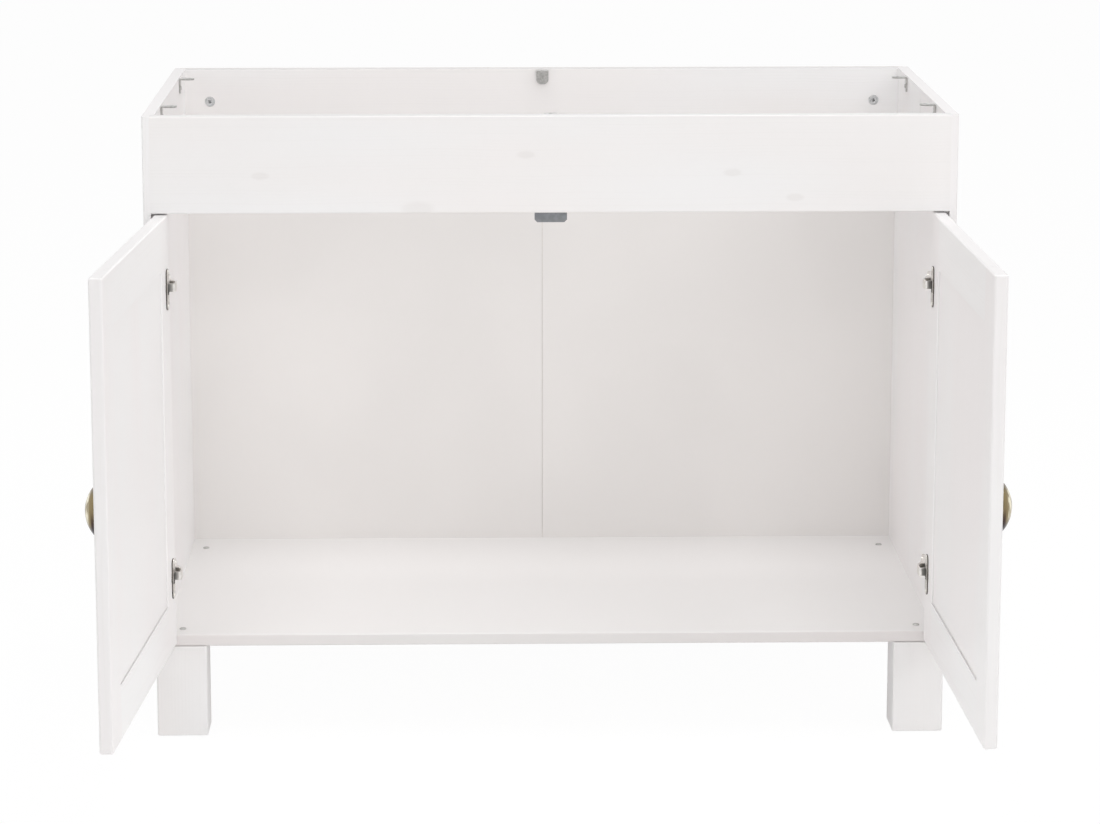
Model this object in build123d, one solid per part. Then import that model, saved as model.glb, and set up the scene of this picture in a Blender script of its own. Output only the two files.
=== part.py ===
from build123d import *
import os
from math import radians, sqrt, tan

# Sink base cabinet: an open-topped carcass on four square legs, closed by two framed doors.
# Lengths are in millimetres and angles in degrees. X runs to the right, Y to the back and Z up.
# The origin is on the floor, in the middle of the carcass; the doors are written out standing open.

# overall size
cabinet_width = 1100.0
cabinet_depth = 600.0
cabinet_height = 870.0
leg_height = 130.0

# carcass boards
panel_thickness = 16.0
front_lip = 10.0        # width of the side panel's front edge that shows beside rail and doors
rail_thickness = 18.0
rail_height = 132.0
bottom_thickness = 16.0
hardboard_thickness = 3.0
tape_clearance = 0.2    # between the tape and the plane of the side panels' rear edges
back_lap = 8.0          # how far each side panel's rear rebate reaches past its inner face
back_slit = 0.4         # the gap where the two halves of the back meet
tape_width = 30.0
tape_thickness = 0.3
edge_round = 2.0        # long front edges of rail, side panels and bottom panel

# legs
leg_width = 70.0
leg_side_inset = 3.0
leg_front_inset = 20.0
leg_back_inset = 28.0
leg_round = 3.0
glide_radius = 11.0
glide_height = 2.0
glide_nail_radius = 1.2
glide_nail_length = 12.0
glide_edge = 0.5
foot_chamfer = 1.0      # lower edges of the legs

# doors
side_gap = 3.0          # between a door's hinge edge and the lip beside it
middle_gap = 3.0
top_gap = 2.0
door_foot = 4.0         # from the underside of the carcass up to the door
stop_clearance = 0.3    # between a closed door and the stop plate behind it
swing_room = 4.3        # behind a closed door, for its turning edge
frame_width = 70.0
door_round = 3.0
bead_round = 2.0        # front edges of the door frame, next to the panel
groove_depth = 10.0
panel_board = 7.0
panel_recess = 2.2      # from the frame's inner side down to the panel
panel_float = 1.5       # between the edge of the panel and the bottom of its groove
groove_clearance = 0.1  # each side of the panel and of the rails' tongues
panel_foot_gap = 0.7    # more room behind the panel, in the bottom rail's groove only
left_rest_angle = 94.2
right_rest_angle = 91.2

# concealed hinges
hinge_inset = 100.0     # hinge centre from the door's top and bottom ends
pivot_inset = 10.2      # pin from the door's hinge edge
pivot_depth = 9.2       # pin behind the door's front face
pin_radius = 1.25
pin_half = 10.5
pin_boss_start = 6.2    # the cup's bosses that hold the pin, from the middle of the arm
pin_boss_wall = 1.3
running_clearance = 0.05
eye_wall = 1.15
cup_inset = 21.0
cup_radius = 17.5
cup_depth = 13.0
cup_wall = 1.0
cup_bore_clearance = 0.1
flange_length = 56.0
flange_width = 20.0
flange_round = 8.0
flange_thickness = 1.5
flange_shift = 4.5      # flange centre from cup centre, away from the door's hinge edge
mouth_height = 16.0     # the opening for the arm in the cup's lid and flange
mouth_reach = 29.7      # far end of that opening from the door's hinge edge
cup_screw_shift = 6.0
cup_screw_span = 48.0
arm_width = 11.0
arm_sheet = 2.5
neck_offset = 17.2      # middle of the arm's neck from the pin
neck_droop = 5.0        # how far the arm dips on its way out of the eye
neck_bend = 2.6
knee_depth = 26.0       # where the neck bends down to the panel, from the front plane
knee_bend = 5.0
tail_start = 64.0
tail_length = 26.0
tail_height = 10.25     # middle of the arm's tail above the side panel
cheek_thickness = 1.2
cheek_start = 34.0
cheek_foot = 46.0
cheek_gap = 0.5         # between the cheeks' lower edges and the base plate
plate_thickness = 2.0
plate_start = 48.0
plate_depth = 59.0      # row of the plate's screws, from the front plane
wing_span = 52.0
wing_width = 17.0
wing_round = 5.5
plate_screw_span = 32.0
boss_clearance = 0.3    # between the plate's boss and the cheeks
adjust_screw_depth = 70.0
fixing_screw_depth = 82.0

# door pulls: a shell struck about a line behind the door's face
pull_length = 74.0
pull_projection = 18.0
pull_axis_depth = 10.0
pull_wall = 1.6
pull_mouth_inset = 46.0  # mouth of the shell from the door's free edge
pull_rim_radius = 1.3
lug_length = 9.0
lug_width = 11.0
lug_round = 5.0
lug_overlap = 4.0
lug_end_inset = 1.5

# door stop plate
stop_width = 44.0
stop_drop = 15.5
stop_seat = 20.0
stop_thickness = 2.0
stop_corner = 3.5
stop_screw_span = 26.0
stop_screw_rise = 11.0

# worktop brackets
bracket_leg = 22.0
bracket_width = 18.0
bracket_sheet = 2.0
bracket_bend = 1.5
bracket_end_round = 7.0
bracket_drop = 1.0
bracket_hole_radius = 2.5
bracket_hole_inset = 8.0
bracket_end_distance = 130.0

# board joints
cam_radius = 7.5
cam_depth = 12.5
cam_inset = 37.0        # cam centre from the end of its board
cam_drop = 48.0         # rail cams below the top edge
cam_slot_length = 8.0
cam_slot_width = 1.5
cam_slot_depth = 2.0
cam_throat_radius = 3.8
bolt_radius = 2.6
bolt_head_radius = 3.4
bolt_head_length = 3.0
bolt_seat = 7.5         # how deep bolts and dowels sit in the side panels
dowel_radius = 4.0
dowel_length = 28.0
dowel_end_inset = 20.0
bottom_dowel_inset = 40.0  # bottom panel dowels from its front and back edges
joint_spacing = 150.0   # bottom panel cams either side of the middle
hole_clearance = 0.05

# screws and nails: shank radius, shank length, head radius, head height
leg_bolt = (3.0, 60.0, 4.8, 1.8)
plate_screw = (1.8, 14.0, 3.4, 1.6)
cup_screw = (1.6, 12.0, 3.2, 1.2)
arm_screw = (2.0, 7.0, 3.2, 1.8)
small_screw = (1.6, 12.0, 3.2, 1.4)
nail = (0.7, 14.0, 2.2, 0.4)
nail_spacing = 145.0
nail_inset = 30.0
nail_row_inset = 60.0   # rows across the back, from the outer side

# planes and lines that several pieces share
front_y = -cabinet_depth / 2
back_y = cabinet_depth / 2
outer_x = -cabinet_width / 2
inner_x = outer_x + panel_thickness
lip_x = outer_x + front_lip
rail_bottom = cabinet_height - rail_height
rail_back_y = front_y + rail_thickness
carcass_back_y = back_y - tape_clearance - tape_thickness - hardboard_thickness
back_rail_y = carcass_back_y - rail_thickness
bottom_top = leg_height + bottom_thickness
bottom_middle_z = leg_height + bottom_thickness / 2
front_rail_middle_y = front_y + rail_thickness / 2
back_rail_middle_y = back_rail_y + rail_thickness / 2
door_thickness = rail_thickness - stop_clearance
rebate_y = front_y + door_thickness + swing_room
door_edge_x = lip_x + side_gap
door_free_x = -middle_gap / 2
door_back_y = front_y + door_thickness
door_bottom = leg_height + door_foot
door_top = rail_bottom - top_gap
door_middle = (door_bottom + door_top) / 2
hinge_heights = {"upper": door_top - hinge_inset, "lower": door_bottom + hinge_inset}
pivot_x = door_edge_x + pivot_inset
pivot_y = front_y + pivot_depth
cup_x = door_edge_x + cup_inset
flange_x = cup_x + flange_shift
tail_x = inner_x + tail_height
tail_end = tail_start + tail_length
leg_x = outer_x + leg_side_inset + leg_width / 2
leg_ys = {
    "front": front_y + leg_front_inset + leg_width / 2,
    "back": back_y - leg_back_inset - leg_width / 2,
}
rest_angles = {"left": left_rest_angle, "right": right_rest_angle}


def block(x0, x1, y0, y1, z0, z1):
    return Pos((x0 + x1) / 2, (y0 + y1) / 2, (z0 + z1) / 2) * Box(x1 - x0, y1 - y0, z1 - z0)


def rod(start, end, radius):
    reach = Vector(*end) - Vector(*start)
    return extrude(Plane(origin=start, z_dir=reach) * Circle(radius), reach.length)


def screw(sizes, seat, direction, grow=0.0):
    """A fastener whose head rests at seat; grow makes the tool that cuts its hole."""
    shank_radius, length, head_radius, head_height = sizes
    seat, direction = Vector(*seat), Vector(*direction)
    shank = rod(seat, seat + direction * (length + grow), shank_radius + grow)
    head = rod(seat - direction * head_height, seat, head_radius + grow)
    rim = head.edges().filter_by(GeomType.CIRCLE).sort_by(Axis(seat, direction))[0]
    return shank + fillet(rim, head_height / 2)


def on_both_sides(shapes):
    return shapes + [mirror(shape, about=Plane.YZ) for shape in shapes]


def edges_on(part, axis, **planes):
    """The part's edges along an axis that lie on every given coordinate, such as X=0."""
    found = part.edges().filter_by(axis)
    for letter, value in planes.items():
        found = found.filter_by(lambda e: abs(getattr(e.center(), letter) - value) < 0.01)
    return found


# ---- places of the fasteners -------------------------------------------------------------

def cam_sites():
    """For each cam: its board's end, the bolt's line, the middle of its open face, its way out."""
    level = cabinet_height - cam_drop
    sites = [
        (lip_x, (front_rail_middle_y, level), (rail_back_y, level), (0, 1, 0)),
        (inner_x, (back_rail_middle_y, level), (back_rail_y, level), (0, -1, 0)),
    ]
    for y in (-joint_spacing, joint_spacing):
        sites.append((inner_x, (y, bottom_middle_z), (y, leg_height), (0, 0, -1)))
    return sites


def dowel_sites():
    """For each dowel: its board's end and the place of its line."""
    rail_ends = ((lip_x, front_rail_middle_y), (inner_x, back_rail_middle_y))
    levels = (rail_bottom + dowel_end_inset, cabinet_height - dowel_end_inset)
    sites = [(end_x, y, z) for end_x, y in rail_ends for z in levels]
    for y in (rebate_y + bottom_dowel_inset, 0.0, carcass_back_y - bottom_dowel_inset):
        sites.append((inner_x, y, bottom_middle_z))
    return sites


def dowels(grow=0.0):
    pegs = []
    for end_x, y, z in dowel_sites():
        start_x = end_x - bolt_seat
        start, stop = (start_x - grow, y, z), (start_x + dowel_length + grow, y, z)
        pegs.append(rod(start, stop, dowel_radius + grow))
    return on_both_sides(pegs)


def cam_bolts(grow=0.0):
    bolts = []
    for end_x, (y, z), _, _ in cam_sites():
        tip = end_x + cam_inset + bolt_head_length / 2
        shank = rod((end_x - bolt_seat - grow, y, z), (tip, y, z), bolt_radius + grow)
        head = rod((tip - bolt_head_length, y, z), (tip, y, z), bolt_head_radius + grow)
        bolts.append(shank + head)
    return on_both_sides(bolts)


def cam_throats():
    """The wide holes from each board's end to its cams, which the bolt heads enter by."""
    return on_both_sides([
        rod((end_x, y, z), (end_x + cam_inset, y, z), cam_throat_radius)
        for end_x, (y, z), _, _ in cam_sites()
    ])


def cams(grow=0.0):
    discs = []
    for end_x, (y, z), (face_y, face_z), out in cam_sites():
        middle_x = end_x + cam_inset
        face = Plane(origin=(middle_x, face_y, face_z), z_dir=out)
        disc = extrude(face * Circle(cam_radius + grow), -cam_depth - grow)
        if not grow:
            slot = Rectangle(cam_slot_length, cam_slot_width)
            disc -= extrude(face * (slot + Rot(0, 0, 90) * slot), -cam_slot_depth)
            disc -= rod((end_x, y, z), (middle_x + bolt_head_length, y, z), cam_throat_radius)
        discs.append(disc)
    return on_both_sides(discs)


def leg_bolts(grow=0.0):
    bolts = [screw(leg_bolt, (leg_x, y, bottom_top), (0, 0, -1), grow) for y in leg_ys.values()]
    return on_both_sides(bolts)


def bracket_places():
    """Every worktop bracket's corner on its board, and the turn that points it inwards."""
    level = cabinet_height - bracket_drop
    places = {}
    for side, sign in (("left", 1), ("right", -1)):
        for end, y in (
            ("front", front_y + bracket_end_distance),
            ("back", back_y - bracket_end_distance),
        ):
            turn = 0 if sign > 0 else 180
            places[f"{side}_{end}"] = Pos(sign * inner_x, y, level) * Rot(0, 0, turn)
    places["rail_front"] = Pos(0, rail_back_y, level) * Rot(0, 0, 90)
    places["rail_back"] = Pos(0, back_rail_y, level) * Rot(0, 0, -90)
    return places


def bracket_screws(grow=0.0):
    seat = (bracket_sheet, 0, -bracket_leg + bracket_hole_inset)
    pattern = screw(small_screw, seat, (-1, 0, 0), grow)
    return [place * pattern for place in bracket_places().values()]


def plate_screws(grow=0.0):
    screws = []
    for z in hinge_heights.values():
        for end in (-1, 1):
            seat = (inner_x + plate_thickness, front_y + plate_depth, z + end * plate_screw_span / 2)
            screws.append(screw(plate_screw, seat, (-1, 0, 0), grow))
    return on_both_sides(screws)


def arm_screws(grow=0.0):
    screws = []
    for z in hinge_heights.values():
        for depth in (adjust_screw_depth, fixing_screw_depth):
            seat = (tail_x + arm_sheet / 2, front_y + depth, z)
            screws.append(screw(arm_screw, seat, (-1, 0, 0), grow))
    return on_both_sides(screws)


def cup_screws(grow=0.0):
    screws = []
    for z in hinge_heights.values():
        for end in (-1, 1):
            seat = (
                cup_x + cup_screw_shift,
                door_back_y + flange_thickness,
                z + end * cup_screw_span / 2,
            )
            screws.append(screw(cup_screw, seat, (0, -1, 0), grow))
    return screws


def pull_screws(grow=0.0):
    x = door_free_x - pull_mouth_inset - lug_length + lug_width / 2
    reach = pull_length / 2 - lug_end_inset - lug_width / 2
    return [
        screw(small_screw, (x, front_y - pull_wall, door_middle + end * reach), (0, 1, 0), grow)
        for end in (-1, 1)
    ]


def stop_screws(grow=0.0):
    seats = [(end * stop_screw_span / 2, rail_back_y + stop_thickness, rail_bottom + stop_screw_rise)
             for end in (-1, 1)]
    return [screw(small_screw, seat, (0, -1, 0), grow) for seat in seats]


def nail_row(start, end):
    """Nail positions from start to end, evenly spaced and no further apart than nail_spacing."""
    count = int((end - start) / nail_spacing) + 2
    return [start + (end - start) * i / (count - 1) for i in range(count)]


def back_nails(grow=0.0):
    face_y = carcass_back_y + hardboard_thickness
    side_x = inner_x - back_lap / 2
    rows = [(side_x, z) for z in nail_row(leg_height + nail_inset, cabinet_height - nail_inset)]
    for x in nail_row(outer_x + nail_row_inset, -nail_inset):
        rows.append((x, bottom_middle_z))
        rows.append((x, rail_bottom + nail_inset))
    return on_both_sides([screw(nail, (x, face_y, z), (0, -1, 0), grow) for x, z in rows])


# ---- carcass boards ----------------------------------------------------------------------

def side_panel():
    panel = block(outer_x, inner_x, front_y, back_y, leg_height, cabinet_height)
    panel -= block(lip_x, inner_x, front_y, rail_back_y, rail_bottom, cabinet_height)
    panel -= block(lip_x, inner_x, front_y, rebate_y, leg_height, rail_bottom)
    panel -= block(inner_x - back_lap, inner_x, carcass_back_y, back_y, leg_height, cabinet_height)
    panel = fillet(edges_on(panel, Axis.Z, X=outer_x), edge_round)
    tools = dowels(hole_clearance) + cam_bolts(hole_clearance) + plate_screws(hole_clearance)
    return panel - tools - bracket_screws(hole_clearance) - back_nails(hole_clearance)


def bottom_panel():
    board = block(inner_x, -inner_x, rebate_y, carcass_back_y, leg_height, bottom_top)
    board = fillet(edges_on(board, Axis.X, Y=rebate_y), edge_round)
    tools = dowels(hole_clearance) + cams(hole_clearance) + cam_throats()
    return board - tools - leg_bolts(hole_clearance) - back_nails(hole_clearance)


def front_rail():
    rail = block(lip_x, -lip_x, front_y, rail_back_y, rail_bottom, cabinet_height)
    rail = fillet(edges_on(rail, Axis.X, Y=front_y), edge_round)
    tools = dowels(hole_clearance) + cams(hole_clearance) + cam_throats()
    return rail - tools - bracket_screws(hole_clearance) - stop_screws(hole_clearance)


def back_rail():
    rail = block(inner_x, -inner_x, back_rail_y, carcass_back_y, rail_bottom, cabinet_height)
    tools = dowels(hole_clearance) + cams(hole_clearance) + cam_throats()
    return rail - tools - bracket_screws(hole_clearance) - back_nails(hole_clearance)


def back_panel():
    back_face = carcass_back_y + hardboard_thickness
    sheet = block(
        inner_x - back_lap, -back_slit / 2, carcass_back_y, back_face, leg_height, cabinet_height
    )
    return sheet - back_nails(hole_clearance)


def back_tape():
    back_face = carcass_back_y + hardboard_thickness
    half = tape_width / 2
    return block(-half, half, back_face, back_face + tape_thickness, leg_height, cabinet_height)


def leg(y):
    half = leg_width / 2
    post = block(leg_x - half, leg_x + half, y - half, y + half, glide_height, leg_height)
    post = fillet(post.edges().filter_by(Axis.Z), leg_round)
    post = chamfer(post.faces().sort_by(Axis.Z)[0].edges(), foot_chamfer)
    return post - leg_bolts(hole_clearance) - glide(y, hole_clearance)


def glide(y, grow=0.0):
    top = glide_height + glide_nail_length + grow
    pin = rod((leg_x, y, glide_height / 2), (leg_x, y, top), glide_nail_radius + grow)
    if grow:
        return pin
    disc = rod((leg_x, y, 0), (leg_x, y, glide_height), glide_radius)
    return chamfer(disc.edges().sort_by(Axis.Z)[0], glide_edge) + pin


# ---- metal on the carcass ----------------------------------------------------------------

def worktop_bracket():
    """An angle whose corner is at the origin, one leg hanging down the board at X=0."""
    path = FilletPolyline(
        (bracket_sheet / 2, 0, -bracket_leg),
        (bracket_sheet / 2, 0, -bracket_sheet / 2),
        (bracket_leg, 0, -bracket_sheet / 2),
        radius=bracket_bend,
    )
    section = Plane(origin=path @ 0, x_dir=(1, 0, 0), z_dir=(0, 0, 1)) * Rectangle(
        bracket_sheet, bracket_width
    )
    angle = sweep(section, path)
    ends = edges_on(angle, Axis.X, Z=-bracket_leg) + edges_on(angle, Axis.Z, X=bracket_leg)
    angle = fillet(ends, bracket_end_round)
    far = bracket_leg - bracket_hole_inset
    angle -= rod((far, 0, -bracket_leg), (far, 0, bracket_sheet), bracket_hole_radius)
    angle -= rod((-bracket_sheet, 0, -far), (bracket_leg, 0, -far), small_screw[0] + hole_clearance)
    return angle


def stop_plate():
    half = stop_width / 2
    plate = block(
        -half, half, rail_back_y, rail_back_y + stop_thickness,
        rail_bottom - stop_drop, rail_bottom + stop_seat,
    )
    corners = edges_on(plate, Axis.Y, Z=rail_bottom - stop_drop)
    return chamfer(corners, stop_corner) - stop_screws(hole_clearance)


def hinge_plate(z):
    """The base on the side panel: two wings with a screw each, and the boss the arm clamps on."""
    wings = RectangleRounded(wing_width, wing_span, wing_round)
    base = Plane(origin=(inner_x, front_y + plate_depth, z), x_dir=(0, 1, 0), z_dir=(1, 0, 0))
    plate = extrude(base * wings, plate_thickness)
    boss_half = arm_width / 2 - cheek_thickness - boss_clearance
    boss_top = tail_x - arm_sheet / 2
    plate += block(
        inner_x, boss_top, front_y + plate_start, front_y + tail_end,
        z - boss_half, z + boss_half,
    )
    ramp = Polyline(
        (inner_x + plate_thickness + cheek_gap, front_y + plate_start),
        (boss_top, front_y + plate_start),
        (boss_top, front_y + plate_depth),
        close=True,
    )
    plate -= Pos(0, 0, z - boss_half) * extrude(make_face(ramp), 2 * boss_half)
    return plate - plate_screws(hole_clearance) - arm_screws(hole_clearance)


def hinge_arm(z):
    """The sheet arm: an eye round the pin, a neck out of the cup, and a tail with two cheeks."""
    neck_x = pivot_x + neck_offset
    neck_y = pivot_y - neck_offset * tan(radians(neck_droop))
    path = FilletPolyline(
        (pivot_x, pivot_y),
        (neck_x, neck_y),
        (neck_x, front_y + knee_depth),
        (tail_x, front_y + tail_start),
        (tail_x, front_y + tail_end),
        radius=[neck_bend, knee_bend, knee_bend],
    )
    half = arm_width / 2
    sheet = extrude(trace(path, line_width=arm_sheet), half, both=True)
    web_inner = tail_x - arm_sheet / 2
    slope = (neck_x - tail_x) / (tail_start - knee_depth)
    cheek = Polyline(
        (tail_x + slope * (tail_start - cheek_start), front_y + cheek_start),
        (inner_x + plate_thickness + cheek_gap, front_y + cheek_foot),
        (inner_x + plate_thickness + cheek_gap, front_y + tail_end),
        (web_inner, front_y + tail_end),
        (web_inner, front_y + tail_start),
        close=True,
    )
    cheek_solid = extrude(make_face(cheek), cheek_thickness)
    eye_radius = pin_radius + running_clearance + eye_wall
    arm = sheet + Pos(0, 0, -half) * cheek_solid + Pos(0, 0, half - cheek_thickness) * cheek_solid
    arm += rod((pivot_x, pivot_y, -half), (pivot_x, pivot_y, half), eye_radius)
    bore = pin_radius + running_clearance
    arm -= rod((pivot_x, pivot_y, -arm_width), (pivot_x, pivot_y, arm_width), bore)
    return Pos(0, 0, z) * arm - arm_screws(hole_clearance)


# ---- left door, drawn shut; every piece of it is swung open when it is written -------------

def stile(edge_x, inner_edge_x):
    """An upright of the door frame: rounded, beaded next to the panel and grooved for it."""
    low_x, high_x = sorted((edge_x, inner_edge_x))
    board = block(low_x, high_x, front_y, door_back_y, door_bottom, door_top)
    outer = edges_on(board, Axis.Z, X=edge_x)
    for level in (door_bottom, door_top):
        outer += edges_on(board, Axis.X, Z=level) + edges_on(board, Axis.Y, Z=level, X=edge_x)
    board = fillet(outer, door_round)
    board = fillet(edges_on(board, Axis.Z, X=inner_edge_x, Y=front_y), bead_round)
    return board - groove(inner_edge_x, edge_x)


def groove(inner_edge_x, edge_x):
    deep_x = inner_edge_x + (groove_depth if edge_x > inner_edge_x else -groove_depth)
    low_x, high_x = sorted((inner_edge_x, deep_x))
    return block(low_x, high_x, *groove_faces(groove_clearance), door_bottom, door_top)


def groove_faces(clearance):
    """Front and back of the board that lies in the grooves, wider by a clearance each side."""
    panel_back_y = door_back_y - panel_recess
    return panel_back_y - panel_board - clearance, panel_back_y + clearance


def stile_pair():
    hinge_side = stile(door_edge_x, door_edge_x + frame_width)
    free_side = stile(door_free_x, door_free_x - frame_width)
    return hinge_side, free_side


def hinge_stile():
    board = stile_pair()[0] - cup_screws(hole_clearance)
    bottom_y = door_back_y - cup_depth - cup_bore_clearance
    for z in hinge_heights.values():
        board -= rod((cup_x, bottom_y, z), (cup_x, door_back_y, z), cup_radius + cup_bore_clearance)
    return board


def free_stile():
    return stile_pair()[1] - pull_screws(hole_clearance)


def door_rail(outer_z, inner_z, room_behind=0.0):
    """A cross member: its ends are scribed over the stiles' beads and tongued into their grooves."""
    low_z, high_z = sorted((outer_z, inner_z))
    start_x, stop_x = door_edge_x + frame_width, door_free_x - frame_width
    board = block(
        start_x - bead_round, stop_x + bead_round, front_y, door_back_y, low_z, high_z
    )
    board = fillet(edges_on(board, Axis.X, Z=outer_z), door_round)
    board = fillet(edges_on(board, Axis.X, Z=inner_z, Y=front_y), bead_round)
    reach = groove_depth - panel_float
    board += block(start_x - reach, stop_x + reach, *groove_faces(0), low_z, high_z)
    deep_z = inner_z + (groove_depth if outer_z > inner_z else -groove_depth)
    groove_front, groove_back = groove_faces(groove_clearance)
    board -= block(
        start_x - frame_width, stop_x + frame_width, groove_front, groove_back + room_behind,
        min(inner_z, deep_z), max(inner_z, deep_z),
    )
    for upright in stile_pair():
        board -= upright
    return board


def door_panel():
    reach = frame_width - groove_depth + panel_float
    return block(
        door_edge_x + reach, door_free_x - reach, *groove_faces(0),
        door_bottom + reach, door_top - reach,
    )


def hinge_cup(z):
    """The pressed cup: a lid with a mouth for the arm, two flange wings and holes for the pin."""
    floor_y, lid_y = door_back_y - cup_depth, door_back_y - cup_wall
    cup = rod((cup_x, floor_y, z), (cup_x, door_back_y, z), cup_radius)
    cup -= rod((cup_x, floor_y + cup_wall, z), (cup_x, lid_y, z), cup_radius - cup_wall)
    flange = Plane(origin=(flange_x, door_back_y, z), x_dir=(1, 0, 0), z_dir=(0, 1, 0))
    wings = RectangleRounded(flange_width, flange_length, flange_round)
    cup += extrude(flange * wings, flange_thickness)
    cup -= block(
        door_edge_x, door_edge_x + mouth_reach, lid_y, door_back_y + flange_thickness,
        z - mouth_height / 2, z + mouth_height / 2,
    )
    well = rod((cup_x, floor_y, z), (cup_x, door_back_y, z), cup_radius - cup_wall / 2)
    boss_reach = pin_radius + pin_boss_wall
    for low_z, high_z in ((-cup_radius, -pin_boss_start), (pin_boss_start, cup_radius)):
        cup += well & block(
            cup_x - cup_radius, pivot_x + boss_reach, floor_y, pivot_y + boss_reach,
            z + low_z, z + high_z,
        )
    return cup - cup_screws(hole_clearance) - hinge_pin(z, running_clearance)


def hinge_pin(z, grow=0.0):
    half = pin_half + grow
    return rod((pivot_x, pivot_y, z - half), (pivot_x, pivot_y, z + half), pin_radius + grow)


def dome(wall):
    """The solid within the pull's outer face, or its inner face when wall is its thickness."""
    half_chord = pull_length / 2
    arc_radius = (half_chord**2 + pull_projection**2) / (2 * pull_projection)
    centre = pull_axis_depth + pull_projection - arc_radius
    radius = arc_radius - wall
    crest = centre + radius
    tip = sqrt(radius**2 - centre**2)
    arc = ThreePointArc((0, 0, -tip), (crest, 0, 0), (0, 0, tip))
    return revolve(make_face(arc + Line((0, 0, tip), (0, 0, -tip))), Axis.Z)


def pull_rim(mouth_x):
    """The rolled edge round the mouth of the pull."""
    half = pull_length / 2 - pull_wall / 2
    crest_y = front_y - pull_projection + pull_wall / 2
    arc = ThreePointArc(
        (mouth_x, front_y, door_middle - half),
        (mouth_x, crest_y, door_middle),
        (mouth_x, front_y, door_middle + half),
    )
    return sweep(Plane(origin=arc @ 0, z_dir=arc % 0) * Circle(pull_rim_radius), arc)


def pull_lugs(mouth_x):
    """Two flat ears on the door's face, beside the mouth, for the screws."""
    lugs = []
    for end in (-1, 1):
        far = end * (pull_length / 2 - lug_end_inset)
        low, high = sorted((door_middle + far, door_middle + far - end * lug_width))
        lug = block(
            mouth_x - lug_length, mouth_x + lug_overlap, front_y - pull_wall, front_y, low, high
        )
        corners = edges_on(lug, Axis.Y, X=mouth_x - lug_length)
        lugs.append(fillet(corners, lug_round))
    return lugs


def door_pull():
    """A shell pull set upright: closed towards the free edge, with its mouth towards the hinges."""
    mouth_x = door_free_x - pull_mouth_inset
    place = Pos(mouth_x, front_y + pull_axis_depth, door_middle)
    room = block(
        mouth_x, mouth_x + pull_length, front_y - pull_length, front_y,
        door_middle - pull_length, door_middle + pull_length,
    )
    rim_room = Pos(-pull_length / 2, 0, 0) * room
    shell = (place * (dome(0) - dome(pull_wall))) & room
    shell += pull_rim(mouth_x) & rim_room
    return shell + pull_lugs(mouth_x) - pull_screws(hole_clearance)


# ---- writing out ---------------------------------------------------------------------------

def on_side(piece, side):
    return piece if side == "left" else mirror(piece, about=Plane.YZ)


def swung(piece, side):
    """A piece of the shut left door, put on the given side and turned to its resting angle."""
    hinge_line = Axis((pivot_x, pivot_y, 0), (0, 0, 1))
    return on_side(piece.rotate(hinge_line, -rest_angles[side]), side)


def carcass_nodes():
    nodes = {
        "bottom_panel": bottom_panel(),
        "front_rail": front_rail(),
        "back_rail": back_rail(),
        "back_joint_tape": back_tape(),
        "door_stop_plate": stop_plate(),
        "dowels": dowels(),
        "cam_locks": cams(),
        "cam_bolts": cam_bolts(),
        "leg_bolts": leg_bolts(),
        "foot_glides": on_both_sides([glide(y) for y in leg_ys.values()]),
        "bracket_screws": bracket_screws(),
        "stop_screws": stop_screws(),
        "back_panel_nails": back_nails(),
        "hinge_plate_screws": plate_screws(),
        "hinge_arm_screws": arm_screws(),
    }
    for side in rest_angles:
        nodes[f"side_panel_{side}"] = on_side(side_panel(), side)
        nodes[f"back_panel_{side}"] = on_side(back_panel(), side)
        for end, y in leg_ys.items():
            nodes[f"leg_{end}_{side}"] = on_side(leg(y), side)
        for level, z in hinge_heights.items():
            nodes[f"hinge_arm_{level}_{side}"] = on_side(hinge_arm(z), side)
            nodes[f"hinge_plate_{level}_{side}"] = on_side(hinge_plate(z), side)
    bracket = worktop_bracket()
    for name, place in bracket_places().items():
        nodes[f"worktop_bracket_{name}"] = place * bracket
    return nodes


def door_nodes(side):
    pieces = {
        "hinge_stile": [hinge_stile()],
        "free_stile": [free_stile()],
        "top_rail": [door_rail(door_top, door_top - frame_width)],
        "bottom_rail": [door_rail(door_bottom, door_bottom + frame_width, panel_foot_gap)],
        "panel": [door_panel()],
        "pull": [door_pull()],
        "pull_screws": pull_screws(),
        "cup_screws": cup_screws(),
        "hinge_pins": [hinge_pin(z) for z in hinge_heights.values()],
    }
    for level, z in hinge_heights.items():
        pieces[f"hinge_cup_{level}"] = [hinge_cup(z)]
    return {
        f"door_{side}_{name}": [swung(solid, side) for solid in solids]
        for name, solids in pieces.items()
    }


def write(nodes):
    os.makedirs("parts", exist_ok=True)
    for name, shape in nodes.items():
        solids = shape if isinstance(shape, list) else [shape]
        export_step(Compound([s for piece in solids for s in piece.solids()]), f"parts/{name}.step")


all_nodes = carcass_nodes()
for door_side in rest_angles:
    all_nodes.update(door_nodes(door_side))
write(all_nodes)
print(len(all_nodes), "nodes; pins at", round(pivot_x, 2), round(pivot_y, 2))
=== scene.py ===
import math
import bmesh
import bpy
from mathutils import Matrix, Vector


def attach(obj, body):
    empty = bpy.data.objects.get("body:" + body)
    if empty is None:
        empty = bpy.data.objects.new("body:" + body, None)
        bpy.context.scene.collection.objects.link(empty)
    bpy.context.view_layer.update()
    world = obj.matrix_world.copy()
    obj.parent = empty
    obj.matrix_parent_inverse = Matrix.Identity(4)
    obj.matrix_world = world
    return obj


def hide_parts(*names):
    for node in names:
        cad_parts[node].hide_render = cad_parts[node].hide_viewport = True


# Sink base cabinet in white lacquered pine, both doors standing open. Metres, front towards -Y.

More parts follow.
